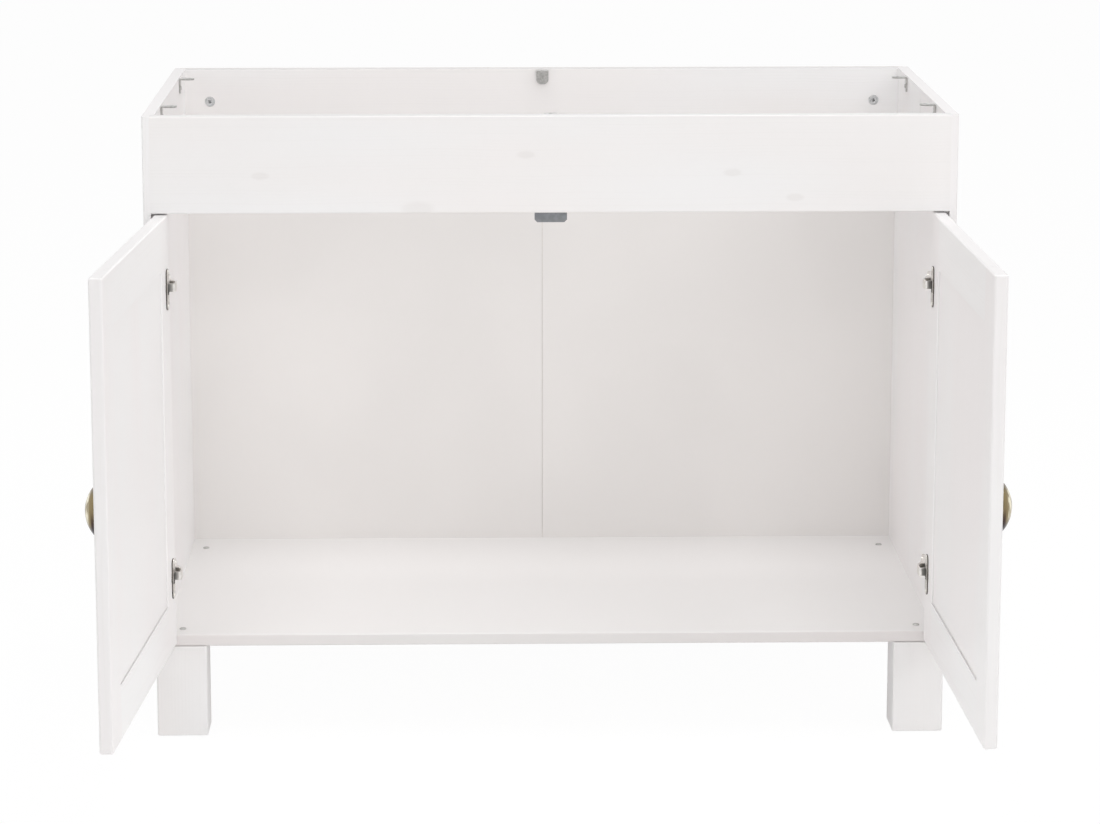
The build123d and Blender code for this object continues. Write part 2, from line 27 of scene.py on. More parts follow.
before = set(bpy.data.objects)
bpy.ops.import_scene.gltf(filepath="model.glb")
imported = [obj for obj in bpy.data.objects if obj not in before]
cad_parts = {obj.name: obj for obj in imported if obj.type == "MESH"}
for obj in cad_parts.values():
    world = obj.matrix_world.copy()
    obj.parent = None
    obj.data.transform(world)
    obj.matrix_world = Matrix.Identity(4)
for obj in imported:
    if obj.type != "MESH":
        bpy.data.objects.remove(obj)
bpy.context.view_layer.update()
print("frame loaded:", len(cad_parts), "nodes")


# sRGB hex text to the linear colour that the shaders take
def linearColour(hexText):
    channels = [int(hexText[i:i + 2], 16) / 255 for i in (1, 3, 5)]
    return [c / 12.92 if c <= 0.04045 else ((c + 0.055) / 1.055) ** 2.4 for c in channels] + [1.0]


# Adds a node. Its inputs are given by name or number, or in order. A socket is linked, any other
# value is set.
def addNode(tree, kind, inputs=(), **settings):
    node = tree.nodes.new(kind)
    for name, value in settings.items():
        setattr(node, name, value)
    for name, value in inputs.items() if isinstance(inputs, dict) else enumerate(inputs):
        if isinstance(value, bpy.types.NodeSocket):
            tree.links.new(value, node.inputs[name])
        else:
            node.inputs[name].default_value = value
    return node


def startMaterial(name):
    material = bpy.data.materials.new(name)
    material.use_nodes = True
    material.node_tree.nodes.clear()
    return material, material.node_tree


# object coordinates divided by a real size in metres, after the turn
def sizedCoordinates(tree, size, turn=(0, 0, 0), shift=(0, 0, 0)):
    spot = addNode(tree, "ShaderNodeTexCoord")
    return addNode(tree, "ShaderNodeMapping", {
        "Vector": spot.outputs["Object"], "Location": shift, "Rotation": turn, "Scale": size,
    }, vector_type="TEXTURE").outputs[0]


# which way the surface looks, as shares along X, Y and Z
def surfaceFacing(tree):
    spot = addNode(tree, "ShaderNodeTexCoord")
    return addNode(tree, "ShaderNodeSeparateXYZ", [spot.outputs["Normal"]]).outputs


# Two shades in patches of a real size with soft edges: gives the colour and the patches' own value.
def mottledColour(tree, size, detail, fade, shades, turn=(0, 0, 0)):
    patches = addNode(tree, "ShaderNodeTexNoise", {
        "Vector": sizedCoordinates(tree, size, turn), "Scale": 1.0, "Detail": detail,
    }).outputs["Fac"]
    share = addNode(tree, "ShaderNodeMapRange", [patches, *fade], interpolation_type="SMOOTHSTEP")
    first, second = [linearColour(shade) for shade in shades]
    colour = addNode(tree, "ShaderNodeMix", {0: share.outputs[0], 6: first, 7: second}, data_type="RGBA")
    return colour.outputs[2], patches


pine = {
    # opaque white, the warmer white of broad patches, and a darker white painted as shade on edges that
    # look up
    "paint": {
        # one lacquer throughout: the sides and doors are made lighter and the bottom darker than the
        # carcass, as painted light and painted shade
        "carcass": ("#f0efef", "#f0edec", "#dad8d8"),
        "sides": ("#f8f7f7", "#f7f4f4", "#e5e3e3"),
        "doors": ("#f9f8f8", "#f8f5f5", "#e5e3e3"),
        "bottom": ("#e6e4e3", "#e5e0df", "#e6e4e3"),
    },
    # how much of that painted shade the edges get that look to the front
    "frontEdges": {"carcass": 0.0, "sides": 0.32, "doors": 0.32, "bottom": 0.0},
    "lookingUp": (0.6, 0.95),     # an edge counts as level between these shares along Z
    "lookingForward": (-0.95, -0.6),
    "patchSize": (0.5, 0.16, 0.16),   # along and across the grain
    "patchFade": (0.35, 0.65),
    "grainTint": "#e6e3e1",       # late wood showing faintly through the coats
    "grainStrength": 0.15,
    "ringSpacing": 0.0042,
    "waverLength": (0.9, 1.0, 1.0),
    "ringWaver": {"Distortion": 7.0, "Detail": 2.0, "Detail Scale": 0.05},
    "ringFade": (0.45, 1.0),
    "streakSize": (0.34, 0.007, 0.007),
    "streakFade": (0.35, 0.7),
    "grainRelief": 0.00012,
    "grainReliefShare": 0.5,
    "knotTint": "#c9c3bf",
    "knotStrength": 0.14,
    "knotSpacing": (0.46, 0.21, 0.21),
    "knotShift": (0.13, 0.07, 0.02),
    "knotFade": (0.035, 0.075),   # from full to none, in shares of that spacing
    "railKnots": [(-0.392, -0.3, 0.789), (-0.034, -0.3, 0.817), (0.245, -0.3, 0.792),
                  (0.330, -0.3, 0.758)],
    "railKnotSize": (0.013, 0.02, 0.0055),
    "railKnotFade": (0.5, 1.3),   # from full to none, in shares of that size
    "sprayGrit": 0.0016,          # orange peel of the sprayed coat, drawn coarser so that it shows
    "sprayRelief": 0.00002,
    "roughness": 0.42,
    "upEdgeRoughness": 0.85,        # edges that look up are rougher, with less sheen
    "ior": 1.5,
}
grainTurns = {"across": (0, 0, 0), "upright": (0, math.pi / 2, 0)}
doorTurns = {"left": math.radians(-94.2), "right": math.radians(91.2)}     # from shut to rest


# where late wood shows: growth rings, broken up by streaks along the grain
def grainLines(tree, turn):
    rings = addNode(tree, "ShaderNodeTexWave", {
        "Vector": sizedCoordinates(tree, pine["waverLength"], turn),
        "Scale": 2 * math.pi / (20 * pine["ringSpacing"]),    # at scale 1 the rings are 2 pi / 20 apart
        **pine["ringWaver"],
    }, wave_type="RINGS", rings_direction="X", wave_profile="SAW").outputs["Fac"]
    streaks = addNode(tree, "ShaderNodeTexNoise", {
        "Vector": sizedCoordinates(tree, pine["streakSize"], turn), "Scale": 1.0, "Detail": 4.0,
    }).outputs["Fac"]
    shares = [
        addNode(tree, "ShaderNodeMapRange", [value, *fade], interpolation_type="SMOOTHSTEP").outputs[0]
        for value, fade in ((rings, pine["ringFade"]), (streaks, pine["streakFade"]))
    ]
    return addNode(tree, "ShaderNodeMath", shares, operation="MULTIPLY").outputs[0]


# where knots are: a few scattered ones, and those that have a place of their own
def knotSpots(tree, turn, placed):
    cells = addNode(tree, "ShaderNodeTexVoronoi", {
        "Vector": sizedCoordinates(tree, pine["knotSpacing"], turn, pine["knotShift"]), "Scale": 1.0,
    }).outputs["Distance"]
    spots = addNode(tree, "ShaderNodeMapRange", [cells, *pine["knotFade"], 1.0, 0.0],
                    interpolation_type="SMOOTHSTEP").outputs[0]
    for place in placed:
        away = addNode(tree, "ShaderNodeVectorMath", [
            sizedCoordinates(tree, pine["railKnotSize"], shift=place),
        ], operation="LENGTH").outputs["Value"]
        knot = addNode(tree, "ShaderNodeMapRange", [away, *pine["railKnotFade"], 1.0, 0.0],
                       interpolation_type="SMOOTHSTEP").outputs[0]
        spots = addNode(tree, "ShaderNodeMath", [spots, knot], operation="MAXIMUM").outputs[0]
    return spots


# Sprayed lacquer over glued pine: satin white, with faint grain lines and a few grey knots under it, and
# painted shade on edges that look up.
def lacqueredPine(name, turn, part="carcass", knots=()):
    material, tree = startMaterial(name)
    paint, warmPaint, paintedShadeTint = pine["paint"][part]
    colour = mottledColour(tree, pine["patchSize"], 1.0, pine["patchFade"], (paint, warmPaint), turn)[0]
    facing = surfaceFacing(tree)
    level = [facing["Z"], *pine["lookingUp"]]
    ahead = [facing["Y"], *pine["lookingForward"], pine["frontEdges"][part], 0.0]
    # painted shade: edges that look up, and on the sides and doors those that look to the front, are mixed
    # towards the darker third white
    paintedShadeShare = addNode(tree, "ShaderNodeMath", [
        addNode(tree, "ShaderNodeMapRange", level, interpolation_type="SMOOTHSTEP").outputs[0],
        addNode(tree, "ShaderNodeMapRange", ahead, interpolation_type="SMOOTHSTEP").outputs[0],
    ], operation="MAXIMUM").outputs[0]
    grain = grainLines(tree, turn)
    grainShare = addNode(tree, "ShaderNodeMapRange", [grain, 0.0, 1.0, 0.0, pine["grainStrength"]],
                         interpolation_type="SMOOTHSTEP").outputs[0]
    knotShare = addNode(tree, "ShaderNodeMapRange", [
        knotSpots(tree, turn, knots), 0.0, 1.0, 0.0, pine["knotStrength"],
    ], interpolation_type="SMOOTHSTEP").outputs[0]
    for share, tint in ((paintedShadeShare, paintedShadeTint), (grainShare, pine["grainTint"]), (knotShare, pine["knotTint"])):
        colour = addNode(tree, "ShaderNodeMix", {0: share, 6: colour, 7: linearColour(tint)},
                         data_type="RGBA").outputs[2]
    roughness = pine["roughness"]
    if part != "bottom":          # that panel's broad upper face keeps its sheen
        roughness = addNode(tree, "ShaderNodeMapRange", [*level, roughness, pine["upEdgeRoughness"]],
                            interpolation_type="SMOOTHSTEP").outputs[0]
    grit = addNode(tree, "ShaderNodeTexNoise", {
        "Vector": sizedCoordinates(tree, (pine["sprayGrit"],) * 3), "Scale": 1.0, "Detail": 1.0,
    }).outputs["Fac"]
    relief = addNode(tree, "ShaderNodeBump", {"Height": grit, "Distance": pine["sprayRelief"]})
    relief = addNode(tree, "ShaderNodeBump", {
        "Height": grain, "Distance": pine["grainRelief"], "Strength": pine["grainReliefShare"],
        "Normal": relief.outputs[0],
    })
    shader = addNode(tree, "ShaderNodeBsdfPrincipled", {
        "Base Color": colour, "Roughness": roughness, "IOR": pine["ior"], "Normal": relief.outputs[0],
    })
    addNode(tree, "ShaderNodeOutputMaterial", [shader.outputs[0]])
    return material


hardboard = {
    "inside": ("#efecea", "#ece9e7"),
    "insidePatch": 0.22,
    "insideFade": (0.35, 0.65),
    "outside": ("#8d6a49", "#6f5138"),
    "fibre": 0.0035,
    "fibreFade": (0.35, 0.7),
    "meshPitch": 0.0024,          # the wire screen's print on the rough face
    "meshWaver": 0.15,
    "meshRelief": 0.0002,
    "meshReliefShare": 0.6,
    "splitAt": 0.2980,            # half way through the sheet
    "roughness": 0.5,
    "ior": 1.5,
}


# Wet-felted board: the inside is painted flat white, the wall side stays brown with the screen's print.
def paintedHardboard():
    material, tree = startMaterial("paintedHardboard")
    inside, outside = [
        mottledColour(tree, (hardboard[size],) * 3, detail, hardboard[fade], hardboard[shades])[0]
        for size, detail, fade, shades in (("insidePatch", 1.0, "insideFade", "inside"),
                                           ("fibre", 3.0, "fibreFade", "outside"))
    ]
    spot = addNode(tree, "ShaderNodeTexCoord")
    depth = addNode(tree, "ShaderNodeSeparateXYZ", [spot.outputs["Object"]]).outputs["Y"]
    isOutside = addNode(tree, "ShaderNodeMath", [depth, hardboard["splitAt"]],
                        operation="GREATER_THAN").outputs[0]
    colour = addNode(tree, "ShaderNodeMix", {0: isOutside, 6: inside, 7: outside}, data_type="RGBA")
    screen = addNode(tree, "ShaderNodeTexVoronoi", {
        "Vector": sizedCoordinates(tree, (hardboard["meshPitch"],) * 3), "Scale": 1.0,
        "Randomness": hardboard["meshWaver"],
    }).outputs["Distance"]
    meshPrint = addNode(tree, "ShaderNodeMath", [screen, isOutside], operation="MULTIPLY").outputs[0]
    relief = addNode(tree, "ShaderNodeBump", {
        "Height": meshPrint, "Distance": hardboard["meshRelief"], "Strength": hardboard["meshReliefShare"],
    })
    shader = addNode(tree, "ShaderNodeBsdfPrincipled", {
        "Base Color": colour.outputs[2], "Roughness": hardboard["roughness"], "IOR": hardboard["ior"],
        "Normal": relief.outputs[0],
    })
    addNode(tree, "ShaderNodeOutputMaterial", [shader.outputs[0]])
    return material


metalFinishes = {
    # bright zinc plating: grey, slightly cloudy
    "zincPlatedSteel": {"shades": ("#c9c8c6", "#b4b3b1"), "patch": 0.004, "roughness": (0.28, 0.38)},
    # zinc plating left dull, on a plate cut from thicker strip
    "dullZincedStrip": {"shades": ("#8b8d90", "#828487"), "patch": 0.009, "roughness": (0.4, 0.5)},
    # cast zinc alloy, tumbled: light grey and satin
    "castZinc": {"shades": ("#e4e5e5", "#d3d4d5"), "patch": 0.003, "roughness": (0.42, 0.52)},
    # nickel plating on stamped sheet: warm and bright, duller where it was handled
    "nickelPlatedSteel": {"shades": ("#efece8", "#e0ddd8"), "patch": 0.006, "roughness": (0.3, 0.38)},
    # the same plating on the pressed cups, whose rims are painted dark as shade
    "nickelPlatedCup": {"shades": ("#d9d7d2", "#c6c3bd"), "patch": 0.006, "roughness": (0.24, 0.32),
                        "rims": "#57524e"},
    # bright wire nails
    "brightNailSteel": {"shades": ("#a9a9a6", "#8b8b88"), "patch": 0.002, "roughness": (0.35, 0.5)},
}
platingPatches = {
    "fade": (0.35, 0.65),
    "glossFade": (0.3, 0.7),
    "rimFade": (0.3, 0.8),        # from a rim to a flat face, in shares across the cabinet
}


def platedMetal(name):
    finish = metalFinishes[name]
    material, tree = startMaterial(name)
    colour, patches = mottledColour(tree, (finish["patch"],) * 3, 3.0, platingPatches["fade"],
                                    finish["shades"])
    if "rims" in finish:          # the open doors' cups lie across X, so their rims look another way
        # painted shade: faces that don't look along X, the cups' rims, take the dark rim colour
        across = addNode(tree, "ShaderNodeMath", [surfaceFacing(tree)["X"]], operation="ABSOLUTE")
        isFlat = addNode(tree, "ShaderNodeMapRange", [across.outputs[0], *platingPatches["rimFade"]],
                         interpolation_type="SMOOTHSTEP").outputs[0]
        colour = addNode(tree, "ShaderNodeMix", {0: isFlat, 6: linearColour(finish["rims"]), 7: colour},
                         data_type="RGBA").outputs[2]
    roughness = addNode(tree, "ShaderNodeMapRange", [
        patches, *platingPatches["glossFade"], *finish["roughness"],
    ], interpolation_type="SMOOTHSTEP").outputs[0]
    shader = addNode(tree, "ShaderNodeBsdfPrincipled", {
        "Base Color": colour, "Metallic": 1.0, "Roughness": roughness,
    })
    addNode(tree, "ShaderNodeOutputMaterial", [shader.outputs[0]])
    return material


brass = {
    "worn": "#eee7cf",            # painted highlight, cream, on the crown
    "patina": "#8f8060",          # khaki brown over most of it
    "deep": "#4a3a34",            # painted shade in the angle with the door
    # painted shade at both tips of the pull
    "tips": "#3b393f",
    "hingeLine": (0.5268, -0.2908, 0.0),   # of the right door; the left one's is its mirror image
    "faceDepth": 0.0092,          # the door's face in front of that line
    "middleHeight": 0.435,
    # heights above the door's face between which one tone gives way to the next
    "paintedHighlightFrom": (0.0095, 0.0125),
    "paintedHighlightUntil": (0.0162, 0.0176),
    "patinaFrom": (0.0065, 0.0095),
    # the same along the upright pull, from its middle upwards
    "paintedHighlightUpwards": (-0.026, 0.002),
    "patinaUpwards": (-0.014, 0.010),
    "shadedTipsMiddle": 0.005,
    "shadedTipsFrom": (0.0148, 0.03145),    # both ways from that point
    "patchSize": (0.0045, 0.0045, 0.03),
    "highlightPatches": (0.38, 0.56, 0.15, 1.0),     # the painted highlight comes through in patches, from 0.15 to full
    "glossFade": (0.3, 0.7),
    "roughness": (0.26, 0.16),    # from the dull patches to the rubbed ones
    "brushing": (0.0009, 0.0009, 0.02),
    "brushRelief": 0.00003,
    "brushReliefShare": 0.3,
}


# Antique brass: plated casting in a khaki patina, with a painted highlight on the crown and painted shade
# in the angle with the door and at both tips. The bands follow the height above the door's face, so the
# coordinates are turned back with the door.
def antiqueBrass(side, turn):
    material, tree = startMaterial("antiqueBrass" + side.title())
    x, y, z = brass["hingeLine"]
    hinge = (-x if side == "left" else x, y, z)
    onDoor = addNode(tree, "ShaderNodeSeparateXYZ", [
        sizedCoordinates(tree, (1, 1, 1), (0, 0, turn), hinge),
    ]).outputs
    lift = addNode(tree, "ShaderNodeMath", [-brass["faceDepth"], onDoor["Y"]],
                   operation="SUBTRACT").outputs[0]
    above = addNode(tree, "ShaderNodeMath", [onDoor["Z"], brass["middleHeight"]],
                    operation="SUBTRACT").outputs[0]
    past = addNode(tree, "ShaderNodeMath", [above, brass["shadedTipsMiddle"]], operation="SUBTRACT")
    reach = addNode(tree, "ShaderNodeMath", [past.outputs[0]], operation="ABSOLUTE").outputs[0]
    patches, strokes = [
        addNode(tree, "ShaderNodeTexNoise", {
            "Vector": sizedCoordinates(tree, brass[size]), "Scale": 1.0, "Detail": detail,
        }).outputs["Fac"]
        for size, detail in (("patchSize", 1.0), ("brushing", 2.0))
    ]
    bands = {
        name: addNode(tree, "ShaderNodeMapRange", inputs, interpolation_type="SMOOTHSTEP").outputs[0]
        for name, inputs in {
            "paintedHighlightFrom": [lift, *brass["paintedHighlightFrom"]],
            "paintedHighlightUntil": [lift, *brass["paintedHighlightUntil"], 1.0, 0.0],
            "paintedHighlightUpwards": [above, *brass["paintedHighlightUpwards"]],
            "highlightPatches": [patches, *brass["highlightPatches"]],
            "patinaUpwards": [above, *brass["patinaUpwards"]],
            "patinaFrom": [lift, *brass["patinaFrom"]],
            "shadedTipsFrom": [reach, *brass["shadedTipsFrom"]],
            "roughness": [patches, *brass["glossFade"], *brass["roughness"]],
        }.items()
    }
    # painted highlight: cream on the crown, in patches
    paintedHighlightShare = bands["paintedHighlightFrom"]
    for name in ("paintedHighlightUntil", "paintedHighlightUpwards", "highlightPatches"):
        paintedHighlightShare = addNode(tree, "ShaderNodeMath", [paintedHighlightShare, bands[name]], operation="MULTIPLY").outputs[0]
    # painted shade in the angle with the door underneath, then the khaki patina, the painted highlight and
    # the painted shade at the tips
    colour = linearColour(brass["deep"])
    for share, tone in ((bands["patinaUpwards"], "patina"), (bands["patinaFrom"], "patina"),
                        (paintedHighlightShare, "worn"), (bands["shadedTipsFrom"], "tips")):
        colour = addNode(tree, "ShaderNodeMix", {0: share, 6: colour, 7: linearColour(brass[tone])},
                         data_type="RGBA").outputs[2]
    relief = addNode(tree, "ShaderNodeBump", {
        "Height": strokes, "Distance": brass["brushRelief"], "Strength": brass["brushReliefShare"],
    })
    shader = addNode(tree, "ShaderNodeBsdfPrincipled", {
        "Base Color": colour, "Metallic": 1.0, "Roughness": bands["roughness"],
        "Normal": relief.outputs[0],
    })
    addNode(tree, "ShaderNodeOutputMaterial", [shader.outputs[0]])
    return material


smallFinishes = {
    # turned and fluted beech dowels: pale pinkish wood with short dark flecks
    "turnedBeech": {"shades": ("#d8b78c", "#b98f63"), "size": (0.012, 0.0008, 0.0008),
                    "roughness": 0.6, "ior": 1.5},
    # moulded polyethylene glides: slightly waxy grey
    "mouldedPolyethylene": {"shades": ("#8f8b86", "#85817c"), "size": (0.003, 0.003, 0.003),
                            "roughness": 0.45, "ior": 1.51},
    # crepe paper tape over the back's joint: matt and fibrous
    "paperTape": {"shades": ("#d9d2c5", "#cbc3b4"), "size": (0.0015, 0.0015, 0.004),
                  "roughness": 0.75, "ior": 1.5},
}
fleckFade = (0.4, 0.65)


def smallMaterial(name):
    finish = smallFinishes[name]
    material, tree = startMaterial(name)
    colour = mottledColour(tree, finish["size"], 2.0, fleckFade, finish["shades"])[0]
    shader = addNode(tree, "ShaderNodeBsdfPrincipled", {
        "Base Color": colour, "Roughness": finish["roughness"], "IOR": finish["ior"],
    })
    addNode(tree, "ShaderNodeOutputMaterial", [shader.outputs[0]])
    return material


pineAcross = lacqueredPine("whiteLacqueredPineAcross", grainTurns["across"])
pineBottom = lacqueredPine("whiteLacqueredPineBottom", grainTurns["across"], "bottom")
pineLeg = lacqueredPine("whiteLacqueredPineLeg", grainTurns["upright"])
pineSide = lacqueredPine("whiteLacqueredPineSide", grainTurns["upright"], "sides")
pineRail = lacqueredPine("whiteLacqueredPineRail", grainTurns["across"], knots=pine["railKnots"])
pineDoor = lacqueredPine("whiteLacqueredPineDoor", grainTurns["upright"], "doors")
pineDoorRail = {
    side: lacqueredPine("whiteLacqueredPineDoorRail" + side.title(), (0, 0, turn), "doors")
    for side, turn in doorTurns.items()
}
metals = {name: platedMetal(name) for name in metalFinishes}
pullBrass = {side: antiqueBrass(side, turn) for side, turn in doorTurns.items()}
smallMaterials = {name: smallMaterial(name) for name in smallFinishes}
backBoard = paintedHardboard()
print("materials made:", len(bpy.data.materials))


# the first of these words that a node's name holds gives its finish
wordFinishes = {
    "nails": metals["brightNailSteel"],
    "back_panel": backBoard,
    "left_pull": pullBrass["left"],
    "right_pull": pullBrass["right"],
    "stop_plate": metals["dullZincedStrip"],
    "bracket": metals["zincPlatedSteel"],
    "stop_screws": metals["zincPlatedSteel"],
    "cam_": metals["castZinc"],
    "bolts": metals["zincPlatedSteel"],
    "front_rail": pineRail,
    "back_rail": pineAcross,
    "bottom_panel": pineBottom,
    "left_top_rail": pineDoorRail["left"],
    "left_bottom_rail": pineDoorRail["left"],
    "right_top_rail": pineDoorRail["right"],
    "right_bottom_rail": pineDoorRail["right"],
    "side_panel": pineSide,
    "stile": pineDoor,
    "panel": pineDoor,
    "leg_": pineLeg,
    "hinge_cup": metals["nickelPlatedCup"],
    "hinge": metals["nickelPlatedSteel"],
    "cup_screws": metals["nickelPlatedSteel"],
    "dowels": smallMaterials["turnedBeech"],
    "glides": smallMaterials["mouldedPolyethylene"],
    "tape": smallMaterials["paperTape"],
}
for nodeName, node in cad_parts.items():
    finish = next(finish for word, finish in wordFinishes.items() if word in nodeName)
    for materialSlot in node.material_slots:
        materialSlot.material = finish
print("finishes set")


# what the heads of all screws and cams share
heads = {
    "steps": 32,                  # round the head
    "recessTaper": 0.7,           # the cross recess, its floor over its mouth
    "turnEach": 0.7,              # radians by which a cross is turned from the one before
    "sharpAngle": math.radians(35),
    # a screw's head in shares of its radius and height, from the flat in the middle to the side
    "flat": 0.72,
    "crossDepth": 0.75,
    "shoulder": (0.9, 0.22),
    "side": 0.6,
    "tip": 0.3,                   # the end of its shank, in shares of the shank's radius
}


# The outline of a screw with a rounded head, a cylindrical shank and a short point: the flat's radius,
# the cross recess, and each (radius, depth) from the flat's rim to the tip.
def screwShape(head, shank, cross):
    headRadius, headHeight = head
    shankRadius, length = shank
    shoulderRadius, shoulderDepth = heads["shoulder"]
    return headRadius * heads["flat"], (*cross, headHeight * heads["crossDepth"]), [
        (headRadius * shoulderRadius, headHeight * shoulderDepth),
        (headRadius, headHeight * heads["side"]),
        (headRadius, headHeight),
        (shankRadius, headHeight),
        (shankRadius, headHeight + length - shankRadius),
        (shankRadius * heads["tip"], headHeight + length),
    ]


# sizes of the screws: head radius and height, shank radius and length, cross width and length
smallScrew = screwShape((0.0032, 0.0014), (0.0016, 0.0119), (0.0009, 0.0036))
cupScrew = screwShape((0.0032, 0.0012), (0.0016, 0.0119), (0.0009, 0.0036))
legBolt = screwShape((0.0048, 0.0018), (0.0030, 0.0599), (0.0013, 0.0056))
plateScrew = screwShape((0.0034, 0.0016), (0.0018, 0.0139), (0.0009, 0.0040))
armScrew = screwShape((0.0032, 0.0018), (0.0020, 0.0069), (0.0010, 0.0038))
# a cast cam: deep cross in a raised middle, a pressed ring round it and a chamfered rim
castCam = (0.0044, (0.0024, 0.0056, 0.0070), [
    (0.0047, 0.0010), (0.0056, 0.0010), (0.0059, 0.0001), (0.0070, 0.0001), (0.0075, 0.0008),
    (0.0075, 0.0124),
])
# the first of these that ends a node's name gives its shape
fasteners = {
    "bracket_screws": {"shape": smallScrew, "slot": "zinced_steel"},
    "stop_screws": {"shape": smallScrew, "slot": "zinced_steel"},
    "pull_screws": {"shape": smallScrew, "slot": "antique_brass"},
    "cup_screws": {"shape": cupScrew, "slot": "nickelled_steel"},
    "leg_bolts": {"shape": legBolt, "slot": "zinced_steel"},
    "hinge_plate_screws": {"shape": plateScrew, "slot": "nickelled_steel"},
    "hinge_arm_screws": {"shape": armScrew, "slot": "nickelled_steel"},
    "cam_locks": {"shape": castCam, "slot": "zinced_steel"},
}


# the solids of a frame node, as lists of points, always in the same order
def solidsOf(nodeName):
    bm = bmesh.new()
    bm.from_mesh(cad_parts[nodeName].data)
    bmesh.ops.remove_doubles(bm, verts=bm.verts, dist=1e-6)
    reached = set()
    solids = []
    for first in bm.verts:
        if first in reached:
            continue
        reached.add(first)
        waiting = [first]
        points = []
        while waiting:
            vert = waiting.pop()
            points.append(vert.co.copy())
            for edge in vert.link_edges:
                other = edge.other_vert(vert)
                if other not in reached:
                    reached.add(other)
                    waiting.append(other)
        solids.append(points)
    bm.free()
    return solids


# where a fastener's head is: the middle of its outer end, looking inwards along its line
def headPlace(points, inwards):
    turn = inwards.to_track_quat("Z", "Y")
    local = [turn.inverted() @ point for point in points]
    low = Vector([min(p[i] for p in local) for i in range(3)])
    high = Vector([max(p[i] for p in local) for i in range(3)])
    head = turn @ Vector(((low.x + high.x) / 2, (low.y + high.y) / 2, low.z))
    return Matrix.Translation(head) @ turn.to_matrix().to_4x4()


# a head with a cross recess, and what follows it down to the tip
def crossHead(flatRadius, cross, outline):
    width, length, depth = cross
    bm = bmesh.new()
    bmesh.ops.create_circle(bm, cap_ends=True, segments=heads["steps"], radius=flatRadius)
    for axis in (Vector((1, 0, 0)), Vector((0, 1, 0))):
        for reach in (-length, -width, width, length):
            bmesh.ops.bisect_plane(bm, geom=bm.verts[:] + bm.edges[:] + bm.faces[:],
                                   plane_co=axis * reach / 2, plane_no=axis)
    rim = [edge for edge in bm.edges if edge.is_boundary]
    crossFaces = []
    for face in bm.faces:
        across, up = sorted(abs(v) for v in face.calc_center_median()[:2])
        if across < width / 2 and up < length / 2:
            crossFaces.append(face)
    pressed = bmesh.ops.extrude_face_region(bm, geom=crossFaces)["geom"]
    bmesh.ops.delete(bm, geom=crossFaces, context="FACES_ONLY")
    floor = [item for item in pressed if isinstance(item, bmesh.types.BMVert)]
    bmesh.ops.translate(bm, verts=floor, vec=(0, 0, depth))
    bmesh.ops.scale(bm, verts=floor, vec=(heads["recessTaper"], heads["recessTaper"], 1.0))
    for radius, level in outline:
        grown = bmesh.ops.extrude_edge_only(bm, edges=rim)["geom"]
        rim = [item for item in grown if isinstance(item, bmesh.types.BMEdge)]
        for vert in {v for edge in rim for v in edge.verts}:
            flat = Vector((vert.co.x, vert.co.y, 0)).normalized() * radius
            vert.co = (flat.x, flat.y, level)
    bmesh.ops.contextual_create(bm, geom=rim)
    bmesh.ops.recalc_face_normals(bm, faces=bm.faces)
    mesh = bpy.data.meshes.new("crossHead")
    bm.to_mesh(mesh)
    bm.free()
    return mesh


# puts a copy of a template mesh at each place and makes one piece of them
def scatterPiece(name, template, places, material, body, replaced):
    bm = bmesh.new()
    for place in places:
        start = len(bm.verts)
        bm.from_mesh(template)
        bm.verts.ensure_lookup_table()
        bmesh.ops.transform(bm, matrix=place, verts=bm.verts[start:])
    mesh = bpy.data.meshes.new(name)
    bm.to_mesh(mesh)
    bm.free()
    mesh.shade_smooth()
    mesh.set_sharp_from_angle(angle=heads["sharpAngle"])
    mesh.materials.append(material)
    piece = bpy.data.objects.new(name, mesh)
    bpy.context.collection.objects.link(piece)
    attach(piece, body)
    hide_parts(replaced)


# makes the fasteners of a node anew; inwardsOf tells which way one of them was driven
def fastenerPiece(nodeName, body, inwardsOf):
    kind = next(kind for word, kind in fasteners.items() if nodeName.endswith(word))
    places = []
    for number, points in enumerate(solidsOf(nodeName)):
        place = headPlace(points, inwardsOf(points))
        places.append(place @ Matrix.Rotation(number * heads["turnEach"], 4, "Z"))
    words = nodeName.split("_")
    name = words[0] + "".join(word.title() for word in words[1:])
    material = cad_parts[nodeName].material_slots[0].material
    scatterPiece(name, crossHead(*kind["shape"]), places, material, body, nodeName)


fastenerZones = {
    "railBrackets": 0.1,          # brackets nearer than this to the middle are on the rails
    "railCams": 0.5,              # cams above this height are in the rails
}


def middleOf(points):
    return sum(points, Vector()) / len(points)


def towardsSide(points):
    return Vector((math.copysign(1.0, middleOf(points).x), 0, 0))


# brackets on the side panels face inwards, those on the rails face front or back
def bracketInwards(points):
    middle = middleOf(points)
    if abs(middle.x) > fastenerZones["railBrackets"]:
        return towardsSide(points)
    return Vector((0, math.copysign(1.0, middle.y), 0))


# cams are let in from the rails' inner faces and from under the bottom panel
def camInwards(points):
    middle = middleOf(points)
    if middle.z > fastenerZones["railCams"]:
        return Vector((0, math.copysign(1.0, middle.y), 0))
    return Vector((0, 0, 1))


fastenerPiece("bracket_screws", "carcass", bracketInwards)
fastenerPiece("stop_screws", "carcass", lambda points: Vector((0, -1, 0)))
fastenerPiece("leg_bolts", "carcass", lambda points: Vector((0, 0, -1)))
fastenerPiece("cam_locks", "carcass", camInwards)
fastenerPiece("hinge_plate_screws", "carcass", towardsSide)
fastenerPiece("hinge_arm_screws", "carcass", towardsSide)
for side, turn in doorTurns.items():
    faceOut = Matrix.Rotation(turn, 3, "Z") @ Vector((0, -1, 0))     # the shut door's face looks to -Y
    fastenerPiece(f"door_{side}_cup_screws", f"door_{side}", lambda points: faceOut)
    fastenerPiece(f"door_{side}_pull_screws", f"door_{side}", lambda points: -faceOut)
print("fasteners made")


